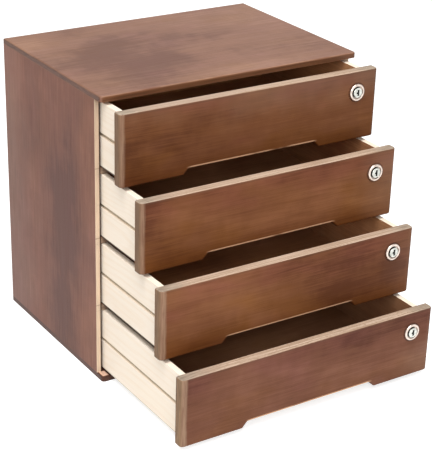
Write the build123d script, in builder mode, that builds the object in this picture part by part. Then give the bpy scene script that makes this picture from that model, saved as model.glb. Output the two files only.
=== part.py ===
"""Desktop drawer organizer: a board carcass with four lockable drawers on wooden runners.

Millimetres, +Z up, +X to the right of someone who faces the drawers, fronts towards -Y.
The origin is the centre of the underside. Each drawer stands open at rest by its own amount.
Drawer 1 is the top one, and divider n is the board between drawers n and n + 1.
"""
import math
import os

from build123d import *

os.makedirs("parts", exist_ok=True)

# Carcass
WIDTH = 308.0  # across the side panels
HEIGHT = 315.0  # underside to top
SIDE_DEPTH = 205.0  # side panels, front edge to rear edge
LIP = 12.4  # top and bottom panels run this far in front of the sides
TOP_T = 6.0
BOTTOM_T = 6.0
SIDE_T = 6.0
DIVIDER_T = 6.5
DIVIDER_HOUSING = 2.0  # depth of the dividers' grooves in the side panels
DIVIDER_STOP = 8.0  # front ends of those grooves behind the side panels' front edges
SIDE_EDGE_R = 0.5  # eased front edges of the side panels
BACK_T = 4.0
BACK_REBATE = 3.0  # how far the back panel is let into the boards round it
PLAN_CORNER_R = 4.0  # front corners of the top and bottom panels, seen from above
TOP_EDGE_R = 1.8
BOTTOM_EDGE_R = 1.0

# Dowels between the side panels and the top and bottom panels
DOWEL_D = 3.0
DOWEL_IN_PANEL = 4.0
DOWEL_IN_SIDE = 8.0
DOWELS_PER_JOINT = 3
DOWEL_END_DISTANCE = 30.0  # first and last dowel from the ends of the joint

# Screws through the back panel into the dividers
BACK_SCREW_D = 2.5
BACK_SCREW_HEAD_D = 5.0
BACK_SCREW_L = 15.0
BACK_SCREW_POINT = 2.5  # length of the tapered tip
BACK_SCREW_SPACING = 200.0
BACK_SCREWS_PER_DIVIDER = 2
COUNTERSINK_ANGLE = 90.0

# Runners and the brads that hold them
RUNNER_H = 3.8
RUNNER_BITE = 2.0  # how far a runner stands into the drawer side's groove
RUNNER_SETBACK = 6.0  # runner's front end behind the side panel's front edge
RUNNER_LEAD = 1.2  # chamfer at the runner's front end
BRAD_D = 1.2
BRAD_IN_SIDE = 4.0
BRADS_PER_RUNNER = 2
BRAD_END_DISTANCE = 18.0  # first and last brad from the runner's ends

# Drawers
DRAWERS = 4
OPENINGS = (40.0, 79.5, 118.0, 159.0)  # front's rear face to the side panels' front edges
FRONT_T = 10.5
FRONT_END_R = 4.4  # upright edges at the ends of the face
FRONT_EDGE_R = 1.8  # the face's other edges, and the ends' upper and lower edges
BOX_DEPTH = 192.0  # drawer sides behind the front's rear face
BOX_T = 6.5  # drawer sides and backs
BOX_EDGE_R = 0.6  # eased upper edges of the drawer sides
FRONT_HOUSING = 4.0  # depth of the grooves in the front that take the drawer sides
BACK_HOUSING = 2.0  # depth of the grooves in the drawer sides that take the back
BACK_INSET = 5.0  # drawer back's rear face before the ends of the drawer sides
BASE_T = 3.0
BASE_HOUSING = 3.0  # how far the base is let into the front and the drawer sides

# Finger notch in each front's lower edge
NOTCH_W = 153.0  # along its upper edge
NOTCH_H = 6.5
NOTCH_SLANT = 5.8  # run of each slanted end
NOTCH_CORNER_R = 2.4
BASE_OVER_NOTCH = 2.55  # drawer base's underside above the notch

# Cam locks
LOCK_DROP = 23.0  # axis below the line between one front and the next
RING_D = 18.6
RING_T = 2.0
RING_EDGE = 0.9  # chamfer round the ring's face
BARREL_D = 14.0
BARREL_BEHIND = 7.0  # barrel's end behind the front's rear face
PLUG_D = 11.0
MOUTH_D = 13.6  # recess in the ring's face, round the plug
MOUTH_DEPTH = 1.5
PLUG_PROUD = 0.8  # plug's face in front of the ring's face
PLUG_EDGE = 0.4  # chamfer round the plug's face
KEY_SLOT_W = 1.4
KEY_SLOT_H = 6.4
KEY_SLOT_DEPTH = 8.0
KEY_WING_W = 1.2  # side wing of the key slot
KEY_WING_H = 1.8
NUT_AF = 18.0
NUT_T = 3.5
CAM_W = 9.0
CAM_T = 1.8
CAM_BITE = 2.7  # raised cam's tip above the line between one front and the next
CAM_TIP_R = 1.0
CAM_SQUARE = 5.0  # square hole that keys the cam to the plug
CAM_SCREW_D = 4.0
CAM_SCREW_IN_PLUG = 6.0
CAM_SCREW_HEAD_D = 7.5
CAM_SCREW_HEAD_T = 2.0
CROSS_L = 4.2  # cross recess in the cam screw's head
CROSS_W = 0.9
CROSS_DEPTH = 1.1

# Clearances
GLUE_GAP = 0.05  # round a glued, screwed or pinned piece
FRONT_GAP = 0.6  # between one front and the next
CLOSED_GAP = 0.3  # shut front to the side panels' front edges
BOX_EDGE_GAP = 0.6  # drawer box to the boards above and below
BOX_SIDE_GAP = 1.6  # drawer side to side panel
RUNNER_GAP = 0.3  # runner to the groove above and below
GROOVE_FLOOR_GAP = 0.4  # runner to the groove's floor
LOCK_HOLE_GAP = 0.1  # barrel to the front and to the nut, on the radius
PLUG_GAP = 0.08  # plug to its bore, on the radius
CAM_GAP = 0.2  # barrel's end to the cam
SQUARE_GAP = 0.05  # plug's square end to the cam's hole, each side
NUT_SIDE_GAP = 2.2  # nut's corner to the drawer side
MORTISE_GAP = 1.5  # raised cam to the ends and sides of its mortise
POCKET_GAP = 0.5  # raised cam to the floor of its pocket in the top panel

# Places that follow from the sizes
DEPTH = SIDE_DEPTH + LIP
SIDE_FRONT_Y = LIP - DEPTH / 2
REAR_Y = DEPTH / 2
BACK_FACE_Y = REAR_Y - BACK_T  # inner face of the back panel
INNER_X = WIDTH / 2 - SIDE_T
BOX_X = INNER_X - BOX_SIDE_GAP  # outer face of a drawer side
BOX_INNER_X = BOX_X - BOX_T
SIDE_LOW_Z = BOTTOM_T
SIDE_HIGH_Z = HEIGHT - TOP_T
PITCH = (SIDE_HIGH_Z - SIDE_LOW_Z) / DRAWERS
BACK_X = INNER_X + BACK_REBATE  # edges of the rebates for the back panel
GROOVE_H = RUNNER_H + 2 * RUNNER_GAP
GROOVE_DEPTH = RUNNER_BITE + GROOVE_FLOOR_GAP
RUNNER_T = BOX_SIDE_GAP + RUNNER_BITE
BORE_R = PLUG_D / 2 + PLUG_GAP
LOCK_X = BOX_INNER_X - NUT_AF / math.sqrt(3) - NUT_SIDE_GAP
CAM_FRONT = BARREL_BEHIND + CAM_GAP  # cam's front face behind the front's rear face
CAM_REACH = LOCK_DROP + CAM_BITE
CAM_SWEEP_R = math.hypot(CAM_REACH, CAM_W / 2)
CAM_SHUT_Y = SIDE_FRONT_Y - CLOSED_GAP + CAM_FRONT  # cam's front face when its drawer is shut
CUT = 1.0  # cutters run this far past the face they open

REBATE_Y = (BACK_FACE_Y, REAR_Y + CUT)  # cut for the back panel's rebates

SIDES = (("left", -1), ("right", 1))
NUMBERS = range(1, DRAWERS + 1)


def line_z(n):
    """Height of the line below drawer n, halfway between its front and the next."""
    return SIDE_HIGH_Z - n * PITCH


def box_z(n):
    """Lower and upper edge of drawer n's box."""
    edge = DIVIDER_T / 2 + BOX_EDGE_GAP
    return line_z(n) + edge, line_z(n - 1) - edge


def runner_z(n):
    """Mid-height of drawer n's runners and of the grooves that they run in."""
    return sum(box_z(n)) / 2


def base_z(n):
    """Underside of drawer n's base."""
    return line_z(n) + FRONT_GAP / 2 + NOTCH_H + BASE_OVER_NOTCH


def rear_y(n):
    """Rear face of drawer n's front, at rest."""
    return SIDE_FRONT_Y - OPENINGS[n - 1]


def lock_z(n):
    """Height of drawer n's lock axis."""
    return line_z(n - 1) - LOCK_DROP


def spread(first, last, count):
    """Evenly spaced places from first to last."""
    return [first + (last - first) * i / (count - 1) for i in range(count)]


def block(x, y, z, mode=Mode.ADD):
    """Board, or straight cut, between two limits on each axis."""
    limits = [sorted(pair) for pair in (x, y, z)]
    centre = tuple((low + high) / 2 for low, high in limits)
    with Locations(centre):
        Box(*[high - low for low, high in limits], mode=mode)


def cam_mortise(n, z):
    """Room between the heights z for the raised cam of drawer n, when that drawer is shut."""
    rise = min(z[0] - lock_z(n), CAM_REACH)
    swing = math.sqrt(CAM_SWEEP_R**2 - rise**2)
    x = (LOCK_X - swing - MORTISE_GAP, LOCK_X + CAM_W / 2 + MORTISE_GAP)
    block(x, (CAM_SHUT_Y - MORTISE_GAP, CAM_SHUT_Y + CAM_T + MORTISE_GAP), z, mode=Mode.SUBTRACT)


def save(part, name):
    """Write one piece under its own name."""
    part.label = name
    export_step(part, f"parts/{name}.step")


# Where the fasteners go
DOWEL_YS = spread(SIDE_FRONT_Y + DOWEL_END_DISTANCE, BACK_FACE_Y - DOWEL_END_DISTANCE, DOWELS_PER_JOINT)
DOWEL_X = WIDTH / 2 - SIDE_T / 2
RUNNER_Y = (SIDE_FRONT_Y + RUNNER_SETBACK, BACK_FACE_Y - GLUE_GAP)
BRAD_YS = spread(RUNNER_Y[0] + BRAD_END_DISTANCE, RUNNER_Y[1] - BRAD_END_DISTANCE, BRADS_PER_RUNNER)
SCREW_SPAN = BACK_SCREW_SPACING * (BACK_SCREWS_PER_DIVIDER - 1) / 2
SCREW_XS = spread(-SCREW_SPAN, SCREW_SPAN, BACK_SCREWS_PER_DIVIDER)


def dowel_holes(hands, z, up):
    """Seats at height z for the dowels of the given sides; up is 1 where they open upwards."""
    return [Plane(origin=(hand * DOWEL_X, y, z), z_dir=(0, 0, up)) for hand in hands for y in DOWEL_YS]


def brad_seats(n, hand, x):
    """Places of drawer n's brads on one side, at the distance x from the middle."""
    return [Plane(origin=(hand * x, y, runner_z(n)), z_dir=(-hand, 0, 0)) for y in BRAD_YS]


def screw_seats(n, y):
    """Places of divider n's screws, on the plane y."""
    return [Plane(origin=(x, y, line_z(n)), z_dir=(0, 1, 0)) for x in SCREW_XS]


# Top panel: rounded outline edge, rebate, dowel holes and a pocket for the raised cam of drawer 1
with BuildPart() as top_panel:
    with BuildSketch(Plane.XY.offset(SIDE_HIGH_Z)) as outline:
        Rectangle(WIDTH, DEPTH)
        fillet(outline.vertices().group_by(Axis.Y)[0], PLAN_CORNER_R)
    extrude(amount=TOP_T)
    fillet(top_panel.edges().group_by(Axis.Z)[-1], TOP_EDGE_R)
    block((-BACK_X, BACK_X), REBATE_Y, (SIDE_HIGH_Z - CUT, SIDE_HIGH_Z + BACK_REBATE), Mode.SUBTRACT)
    cam_mortise(1, (SIDE_HIGH_Z, lock_z(1) + CAM_SWEEP_R + POCKET_GAP))
    with Locations(dowel_holes((-1, 1), SIDE_HIGH_Z, -1)):
        Hole(DOWEL_D / 2 + GLUE_GAP, depth=DOWEL_IN_PANEL + GLUE_GAP)
save(top_panel.part, "top_panel")

# Bottom panel: the same outline, eased along its lower edge
with BuildPart() as bottom_panel:
    with BuildSketch() as outline:
        Rectangle(WIDTH, DEPTH)
        fillet(outline.vertices().group_by(Axis.Y)[0], PLAN_CORNER_R)
    extrude(amount=BOTTOM_T)
    fillet(bottom_panel.edges().group_by(Axis.Z)[0], BOTTOM_EDGE_R)
    block((-BACK_X, BACK_X), REBATE_Y, (SIDE_LOW_Z - BACK_REBATE, SIDE_LOW_Z + CUT), Mode.SUBTRACT)
    with Locations(dowel_holes((-1, 1), SIDE_LOW_Z, 1)):
        Hole(DOWEL_D / 2 + GLUE_GAP, depth=DOWEL_IN_PANEL + GLUE_GAP)
save(bottom_panel.part, "bottom_panel")

# Side panels: eased front edges, and a groove for each divider that stops short of them
for name, hand in SIDES:
    with BuildPart() as side_panel:
        block((hand * INNER_X, hand * WIDTH / 2), (SIDE_FRONT_Y, REAR_Y), (SIDE_LOW_Z, SIDE_HIGH_Z))
        fillet(side_panel.edges().filter_by(Axis.Z).group_by(Axis.Y)[0], SIDE_EDGE_R)
        block((hand * (INNER_X - CUT), hand * BACK_X), REBATE_Y, (0, HEIGHT), Mode.SUBTRACT)
        groove_x = (hand * (INNER_X - CUT), hand * (INNER_X + DIVIDER_HOUSING))
        for n in NUMBERS[:-1]:
            z = (line_z(n) - DIVIDER_T / 2 - GLUE_GAP, line_z(n) + DIVIDER_T / 2 + GLUE_GAP)
            block(groove_x, (SIDE_FRONT_Y + DIVIDER_STOP, REAR_Y), z, Mode.SUBTRACT)
        with Locations(dowel_holes((hand,), SIDE_HIGH_Z, 1) + dowel_holes((hand,), SIDE_LOW_Z, -1)):
            Hole(DOWEL_D / 2 + GLUE_GAP, depth=DOWEL_IN_SIDE + GLUE_GAP)
        with Locations([seat for n in NUMBERS for seat in brad_seats(n, hand, INNER_X)]):
            Hole(BRAD_D / 2 + GLUE_GAP, depth=BRAD_IN_SIDE + GLUE_GAP)
    save(side_panel.part, f"{name}_side_panel")

# Back panel
with BuildPart() as back_panel:
    rebate_floor_z = (SIDE_LOW_Z - BACK_REBATE + GLUE_GAP, SIDE_HIGH_Z + BACK_REBATE - GLUE_GAP)
    block((GLUE_GAP - BACK_X, BACK_X - GLUE_GAP), (BACK_FACE_Y, REAR_Y), rebate_floor_z)
    with Locations([seat for n in NUMBERS[:-1] for seat in screw_seats(n, REAR_Y)]):
        CounterSinkHole(
            BACK_SCREW_D / 2 + GLUE_GAP,
            BACK_SCREW_HEAD_D / 2 + GLUE_GAP,
            depth=BACK_T + CUT,
            counter_sink_angle=COUNTERSINK_ANGLE,
        )
save(back_panel.part, "back_panel")

# Dividers: let into the sides behind notched front corners, each with a mortise for the cam below
for n in NUMBERS[:-1]:
    with BuildPart() as divider:
        half_w = INNER_X + DIVIDER_HOUSING - GLUE_GAP
        z = (line_z(n) - DIVIDER_T / 2, line_z(n) + DIVIDER_T / 2)
        block((-half_w, half_w), (SIDE_FRONT_Y, BACK_FACE_Y - GLUE_GAP), z)
        notch_y = (SIDE_FRONT_Y - CUT, SIDE_FRONT_Y + DIVIDER_STOP + GLUE_GAP)
        for _, hand in SIDES:
            block((hand * (INNER_X - GLUE_GAP), hand * (half_w + CUT)), notch_y, z, Mode.SUBTRACT)
        cam_mortise(n + 1, z)
        with Locations(screw_seats(n, BACK_FACE_Y)):
            Hole(BACK_SCREW_D / 2 + GLUE_GAP, depth=BACK_SCREW_L - BACK_T + GLUE_GAP)
    save(divider.part, f"divider_{n}")

# Runners: a lead-in at the front end and a hole for each brad
for n in NUMBERS:
    for name, hand in SIDES:
        with BuildPart() as runner:
            z = (runner_z(n) - RUNNER_H / 2, runner_z(n) + RUNNER_H / 2)
            block((hand * INNER_X, hand * (INNER_X - RUNNER_T)), RUNNER_Y, z)
            front_edges = runner.edges().filter_by(Axis.Z).group_by(Axis.Y)[0]
            chamfer(front_edges.sort_by(lambda edge: abs(edge.center().X))[0], RUNNER_LEAD)
            with Locations(brad_seats(n, hand, INNER_X - RUNNER_T)):
                Hole(BRAD_D / 2 + GLUE_GAP, depth=RUNNER_T + CUT)
        save(runner.part, f"{name}_runner_{n}")

# Dowels
with BuildPart() as carcass_dowels:
    half_shift = (DOWEL_IN_PANEL - DOWEL_IN_SIDE) / 2
    points = [
        (hand * DOWEL_X, y, z)
        for _, hand in SIDES
        for y in DOWEL_YS
        for z in (SIDE_HIGH_Z + half_shift, SIDE_LOW_Z - half_shift)
    ]
    with Locations(points):
        Cylinder(DOWEL_D / 2, DOWEL_IN_PANEL + DOWEL_IN_SIDE)
save(carcass_dowels.part, "carcass_dowels")

# One back screw: head at the origin, point downwards
with BuildPart() as back_screw:
    head_depth = (BACK_SCREW_HEAD_D - BACK_SCREW_D) / 2 / math.tan(math.radians(COUNTERSINK_ANGLE / 2))
    with BuildSketch(Plane.XZ):
        with BuildLine():
            Polyline(
                (0, 0),
                (BACK_SCREW_HEAD_D / 2, 0),
                (BACK_SCREW_D / 2, -head_depth),
                (BACK_SCREW_D / 2, BACK_SCREW_POINT - BACK_SCREW_L),
                (0, -BACK_SCREW_L),
                close=True,
            )
        make_face()
    revolve(axis=Axis.Z)
with BuildPart() as back_screws:
    with Locations([seat for n in NUMBERS[:-1] for seat in screw_seats(n, REAR_Y)]):
        add(back_screw.part)
save(back_screws.part, "back_screws")

# Brads: headless, driven flush with the runners
with BuildPart() as runner_brads:
    runner_x = INNER_X - RUNNER_T
    with Locations([seat for n in NUMBERS for _, hand in SIDES for seat in brad_seats(n, hand, runner_x)]):
        Cylinder(BRAD_D / 2, RUNNER_T + BRAD_IN_SIDE, align=(Align.CENTER, Align.CENTER, Align.MAX))
save(runner_brads.part, "runner_brads")

for n in NUMBERS:
    box_low, box_high = box_z(n)
    base_low = base_z(n)
    rear = rear_y(n)
    face = rear - FRONT_T
    box_end = rear + BOX_DEPTH
    back_y = (box_end - BACK_INSET - BOX_T, box_end - BACK_INSET)

    # Drawer front: notched outline with well rounded ends and eased edges, grooved behind for the box
    with BuildPart() as drawer_front:
        low, high = line_z(n) + FRONT_GAP / 2, line_z(n - 1) - FRONT_GAP / 2
        half_w, half_notch = WIDTH / 2, NOTCH_W / 2
        with BuildSketch(Plane.XZ.offset(-rear)) as outline:
            with BuildLine():
                Polyline(
                    (-half_w, high),
                    (-half_w, low),
                    (-half_notch - NOTCH_SLANT, low),
                    (-half_notch, low + NOTCH_H),
                    (half_notch, low + NOTCH_H),
                    (half_notch + NOTCH_SLANT, low),
                    (half_w, low),
                    (half_w, high),
                    close=True,
                )
            make_face()
            fillet(outline.vertices().sort_by(lambda corner: abs(corner.X))[:4], NOTCH_CORNER_R)
        extrude(amount=FRONT_T)
        fillet(drawer_front.edges().filter_by(Axis.Z).group_by(Axis.Y)[0], FRONT_END_R)
        face_edges = drawer_front.faces().sort_by(Axis.Y)[0].edges()
        fillet(face_edges.filter_by(Axis.Z, reverse=True), FRONT_EDGE_R)
        for _, hand in SIDES:
            groove_x = (hand * (BOX_INNER_X - GLUE_GAP), hand * (BOX_X + GLUE_GAP))
            groove_z = (box_low - GLUE_GAP, box_high + GLUE_GAP)
            block(groove_x, (rear - FRONT_HOUSING, rear + CUT), groove_z, Mode.SUBTRACT)
        groove_z = (base_low - GLUE_GAP, base_low + BASE_T + GLUE_GAP)
        block((-BOX_INNER_X, BOX_INNER_X), (rear - BASE_HOUSING, rear + CUT), groove_z, Mode.SUBTRACT)
        with Locations(Plane(origin=(LOCK_X, face, lock_z(n)), z_dir=(0, -1, 0))):
            Hole(BARREL_D / 2 + LOCK_HOLE_GAP)
    save(drawer_front.part, f"drawer_front_{n}")

    # Drawer sides: one section with the runner groove outside and the base groove inside
    for name, hand in SIDES:
        with BuildPart() as drawer_side:
            with BuildSketch(Plane.XZ.offset(-box_end)):
                with Locations((hand * (BOX_X + BOX_INNER_X) / 2, runner_z(n))):
                    Rectangle(BOX_T, box_high - box_low)
                with Locations((hand * BOX_X, runner_z(n))):
                    Rectangle(2 * GROOVE_DEPTH, GROOVE_H, mode=Mode.SUBTRACT)
                with Locations((hand * BOX_INNER_X, base_low + BASE_T / 2)):
                    Rectangle(2 * BASE_HOUSING, BASE_T + 2 * GLUE_GAP, mode=Mode.SUBTRACT)
            extrude(amount=BOX_DEPTH + FRONT_HOUSING - GLUE_GAP)
            fillet(drawer_side.edges().filter_by(Axis.Y).group_by(Axis.Z)[-1], BOX_EDGE_R)
            housing_x = (hand * (BOX_INNER_X - CUT), hand * (BOX_INNER_X + BACK_HOUSING))
            housing_y = (back_y[0] - GLUE_GAP, back_y[1] + GLUE_GAP)
            block(housing_x, housing_y, (base_low + BASE_T, box_high + CUT), Mode.SUBTRACT)
        save(drawer_side.part, f"drawer_{name}_side_{n}")

    # Drawer back: let into the sides, standing on the base
    with BuildPart() as drawer_back:
        half_w = BOX_INNER_X + BACK_HOUSING - GLUE_GAP
        block((-half_w, half_w), back_y, (base_low + BASE_T + GLUE_GAP, box_high))
    save(drawer_back.part, f"drawer_back_{n}")

    # Drawer base: slides in from the rear, up to the floor of the front's groove
    with BuildPart() as drawer_base:
        half_w = BOX_INNER_X + BASE_HOUSING - GLUE_GAP
        block((-half_w, half_w), (rear - BASE_HOUSING + GLUE_GAP, back_y[1]), (base_low, base_low + BASE_T))
    save(drawer_base.part, f"drawer_base_{n}")

    # Lock housing: ring with a recess in its face and barrel through the front, turned about one axis
    lock_axis = Axis((LOCK_X, face, lock_z(n)), (0, 1, 0))
    half_plane = Plane(origin=lock_axis.position, x_dir=(1, 0, 0), z_dir=(0, 0, 1))
    with BuildPart() as lock_housing:
        with BuildSketch(half_plane) as section:
            with BuildLine():
                Polyline(
                    (MOUTH_D / 2, -RING_T),
                    (RING_D / 2, -RING_T),
                    (RING_D / 2, 0),
                    (BARREL_D / 2, 0),
                    (BARREL_D / 2, FRONT_T + BARREL_BEHIND),
                    (BORE_R, FRONT_T + BARREL_BEHIND),
                    (BORE_R, MOUTH_DEPTH - RING_T),
                    (MOUTH_D / 2, MOUTH_DEPTH - RING_T),
                    close=True,
                )
            make_face()
            chamfer(section.vertices().group_by(Axis.Y)[0].sort_by(Axis.X)[-1], RING_EDGE)
        revolve(axis=lock_axis)
    save(lock_housing.part, f"lock_housing_{n}")

    # Lock nut: clamps the housing from behind the front
    with BuildPart() as lock_nut:
        with BuildSketch(Plane.XZ.offset(-rear - NUT_T)):
            with Locations((LOCK_X, lock_z(n))):
                RegularPolygon(NUT_AF / 2, 6, major_radius=False)
                Circle(BARREL_D / 2 + LOCK_HOLE_GAP, mode=Mode.SUBTRACT)
        extrude(amount=NUT_T)
    save(lock_nut.part, f"lock_nut_{n}")

    # Lock plug: key slot with one wing in front, square end and screw hole behind
    plug_face = face - RING_T - PLUG_PROUD
    cam_y = rear + CAM_FRONT
    with BuildPart() as lock_plug:
        with BuildSketch(Plane.XZ.offset(-cam_y)):
            with Locations((LOCK_X, lock_z(n))):
                Circle(PLUG_D / 2)
        extrude(amount=cam_y - plug_face)
        chamfer(lock_plug.faces().sort_by(Axis.Y)[0].edges(), PLUG_EDGE)
        with BuildSketch(Plane.XZ.offset(-plug_face)):
            with Locations((LOCK_X, lock_z(n))):
                Rectangle(KEY_SLOT_W, KEY_SLOT_H)
            with Locations((LOCK_X - KEY_SLOT_W / 2, lock_z(n))):
                Rectangle(2 * KEY_WING_W, KEY_WING_H)
        extrude(amount=-KEY_SLOT_DEPTH, mode=Mode.SUBTRACT)
        square_w = CAM_SQUARE - 2 * SQUARE_GAP
        square_x = (LOCK_X - square_w / 2, LOCK_X + square_w / 2)
        square_z = (lock_z(n) - square_w / 2, lock_z(n) + square_w / 2)
        block(square_x, (cam_y, cam_y + CAM_T - GLUE_GAP), square_z)
        with Locations(Plane(origin=(LOCK_X, cam_y + CAM_T, lock_z(n)), z_dir=(0, 1, 0))):
            Hole(CAM_SCREW_D / 2 + GLUE_GAP, depth=CAM_T + CAM_SCREW_IN_PLUG + GLUE_GAP)
    save(lock_plug.part, f"lock_plug_{n}")

    # Lock cam: points inwards while the drawer is unlocked
    with BuildPart() as lock_cam:
        with BuildSketch(Plane.XZ.offset(-cam_y - CAM_T)) as outline:
            with Locations((LOCK_X, lock_z(n))):
                Circle(CAM_W / 2)
            with Locations((LOCK_X - CAM_REACH / 2, lock_z(n))):
                Rectangle(CAM_REACH, CAM_W)
            fillet(outline.vertices().group_by(Axis.X)[0], CAM_TIP_R)
            with Locations((LOCK_X, lock_z(n))):
                Rectangle(CAM_SQUARE, CAM_SQUARE, mode=Mode.SUBTRACT)
        extrude(amount=CAM_T)
    save(lock_cam.part, f"lock_cam_{n}")

    # Cam screw: domed head with a cross recess, shank into the plug
    with BuildPart() as cam_screw:
        with BuildSketch(Plane.XZ.offset(-cam_y - CAM_T - CAM_SCREW_HEAD_T)):
            with Locations((LOCK_X, lock_z(n))):
                Circle(CAM_SCREW_HEAD_D / 2)
        extrude(amount=CAM_SCREW_HEAD_T)
        with BuildSketch(Plane.XZ.offset(-cam_y - CAM_T)):
            with Locations((LOCK_X, lock_z(n))):
                Circle(CAM_SCREW_D / 2)
        extrude(amount=CAM_T + CAM_SCREW_IN_PLUG)
        chamfer(cam_screw.faces().sort_by(Axis.Y)[-1].edges(), CAM_SCREW_HEAD_T / 3)
        with BuildSketch(Plane.XZ.offset(-cam_y - CAM_T - CAM_SCREW_HEAD_T)):
            with Locations((LOCK_X, lock_z(n))):
                Rectangle(CROSS_L, CROSS_W)
                Rectangle(CROSS_W, CROSS_L)
        extrude(amount=CROSS_DEPTH, mode=Mode.SUBTRACT)
    save(cam_screw.part, f"cam_screw_{n}")
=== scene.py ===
"""The looks of a desktop drawer organizer: stained boards, raw pine drawer boxes and nickel cam locks.

Lengths are metres in the frame of the model: X to the right, Y to the back, Z up, and the floor at 0.
Patterns on the boards are written in millimetres, and colours as a screen shows them, from 0 to 255.
Drawer 1 is the top one. A share is a number from 0 to 1.
"""
import math

import bpy
import numpy as np
from mathutils import Matrix, Vector


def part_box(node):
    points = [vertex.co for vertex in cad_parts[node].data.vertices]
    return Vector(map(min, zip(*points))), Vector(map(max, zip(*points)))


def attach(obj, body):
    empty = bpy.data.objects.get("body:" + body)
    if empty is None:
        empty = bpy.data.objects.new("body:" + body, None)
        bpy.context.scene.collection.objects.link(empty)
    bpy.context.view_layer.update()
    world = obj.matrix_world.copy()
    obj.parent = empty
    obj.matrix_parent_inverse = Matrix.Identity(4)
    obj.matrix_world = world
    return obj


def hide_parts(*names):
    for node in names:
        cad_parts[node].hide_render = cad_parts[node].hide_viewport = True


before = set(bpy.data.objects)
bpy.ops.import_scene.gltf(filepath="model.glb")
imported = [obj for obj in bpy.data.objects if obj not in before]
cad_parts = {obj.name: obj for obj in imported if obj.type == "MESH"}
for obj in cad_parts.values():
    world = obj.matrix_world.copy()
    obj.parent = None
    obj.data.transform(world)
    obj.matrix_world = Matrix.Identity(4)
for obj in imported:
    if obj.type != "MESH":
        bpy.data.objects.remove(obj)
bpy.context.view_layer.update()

MM = 0.001  # one millimetre in metres
X, Y, Z = 0, 1, 2
DRAWERS = range(1, 5)
LOWEST = DRAWERS[-1]
DIVIDERS = range(1, 4)
SIDES = (("left", -1), ("right", 1))
ROUND_STEPS = 96  # corners of a full turn

# Camera: where it stands, where it looks, and its lens
CAMERA_PLACE = (-0.77172, -1.26007, 0.76818)
CAMERA_YAW = 33.4105  # degrees from the back towards the right
CAMERA_PITCH = -25.1494
CAMERA_ROLL = 1.7309
FRAME_H = 450  # pixels
FOCAL_PX = 1435.482
SENSOR_H = 36.0
LENS_SHIFT = (-0.00815, 0.05633)

# Light
AMBIENT = 0.336
KEY_PLACE = (-0.55, -0.85, 2.5)
KEY_SIZE = 1.5
KEY_POWER = 62.0
FRONT_PLACE = (-1.0, -1.75, 1.35)
FRONT_SIZE = 1.3
FRONT_POWER = 24.0
LIGHT_AIM = (0.0, -0.05, 0.16)
FLOOR_R = 9.0
FLOOR_WHITE = 0.7
FLOOR_SINK = 0.0002  # floor under the carcass, so that the two don't fight for the same place
FLOOR_GLOW = 0.7  # white that the backdrop adds to the floor, so that its shadow stays faint

# Shapes that the finishes follow, in millimetres
NOTCH_W = 153.0
NOTCH_H = 6.5
PANEL_EDGE_R = 1.8  # rounding along the top panel's edges
RUNNER_H = 3.8
PITH_SHIFT = (58, 33, -47)  # from the centre of a drawer box's board to the centre of its rings

# Lock ring and barrel, in millimetres from the lock's axis and from the front's face
RING_R = 9.3
RING_T = 2.0
RING_ROUND = 1.3
MOUTH_R = 6.8
MOUTH_ROUND = 0.6
MOUTH_DEPTH = 1.5
BORE_R = 5.58
BARREL_R = 7.0
BARREL_END = 17.5
THREAD_START = 10.8
THREAD_PITCH = 1.0
THREAD_STEPS = 8  # rows to one pitch
THREAD_DEPTH = 0.45
THREAD_LEAD = 0.5  # from the barrel's end to the thread
SMOOTH_ANGLE = 35  # degrees, above which an edge stays sharp


def screen(red, green, blue):
    """A colour as a screen shows it, as the linear colour that a shader takes."""
    parts = [value / 255 for value in (red, green, blue)]
    return (*[p / 12.92 if p <= 0.04045 else ((p + 0.055) / 1.055) ** 2.4 for p in parts], 1.0)


def toned(colour, level):
    """A linear colour made lighter or darker."""
    return (*[part * level for part in colour[:3]], 1.0)


def even(level):
    """A linear colour with the same level in its three channels."""
    return (level, level, level, 1.0)


class Value:
    """A number, colour or vector that varies over a surface: one output of a node."""

    def __init__(self, graph, socket):
        self.graph = graph
        self.socket = socket

    def maths(self, operation, *operands):
        """The output of one Math node."""
        return self.graph.add("ShaderNodeMath", {"operation": operation}, dict(enumerate(operands)))

    def __add__(self, other):
        return self.maths("ADD", self, other)

    def __sub__(self, other):
        return self.maths("SUBTRACT", self, other)

    def __rsub__(self, other):
        return self.maths("SUBTRACT", other, self)

    def __mul__(self, other):
        return self.maths("MULTIPLY", self, other)

    def __pow__(self, other):
        return self.maths("POWER", self, other)

    def __abs__(self):
        return self.maths("ABSOLUTE", self)

    def least(self, other):
        return self.maths("MINIMUM", self, other)

    def most(self, other):
        return self.maths("MAXIMUM", self, other)

    def wave(self):
        return self.maths("SINE", self)

    __radd__ = __add__
    __rmul__ = __mul__


class Graph:
    """The nodes of a material or of the world."""

    def __init__(self, owner):
        owner.use_nodes = True
        self.tree = owner.node_tree
        self.tree.nodes.clear()

    def add(self, kind, settings=None, sockets=None, output=0):
        """Adds a node with its settings and its numbers, colours or links, and gives one output."""
        node = self.tree.nodes.new(kind)
        for name, value in (settings or {}).items():
            setattr(node, name, value)
        for name, value in (sockets or {}).items():
            if isinstance(value, Value):
                self.tree.links.new(value.socket, node.inputs[name])
            else:
                node.inputs[name].default_value = value
        return Value(self, node.outputs[output]) if node.outputs else None


MIX_SHARE, MIX_FIRST, MIX_SECOND, MIX_COLOUR = 0, 6, 7, 2  # sockets of a colour Mix node
SEED_STEP, TURN_STEP = 37.0, 11.3  # how far one seed or turn moves a noise
BENT_CELLS = (45, 45, 45)  # cells of the noise that bends a patch's outline, in millimetres


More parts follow.
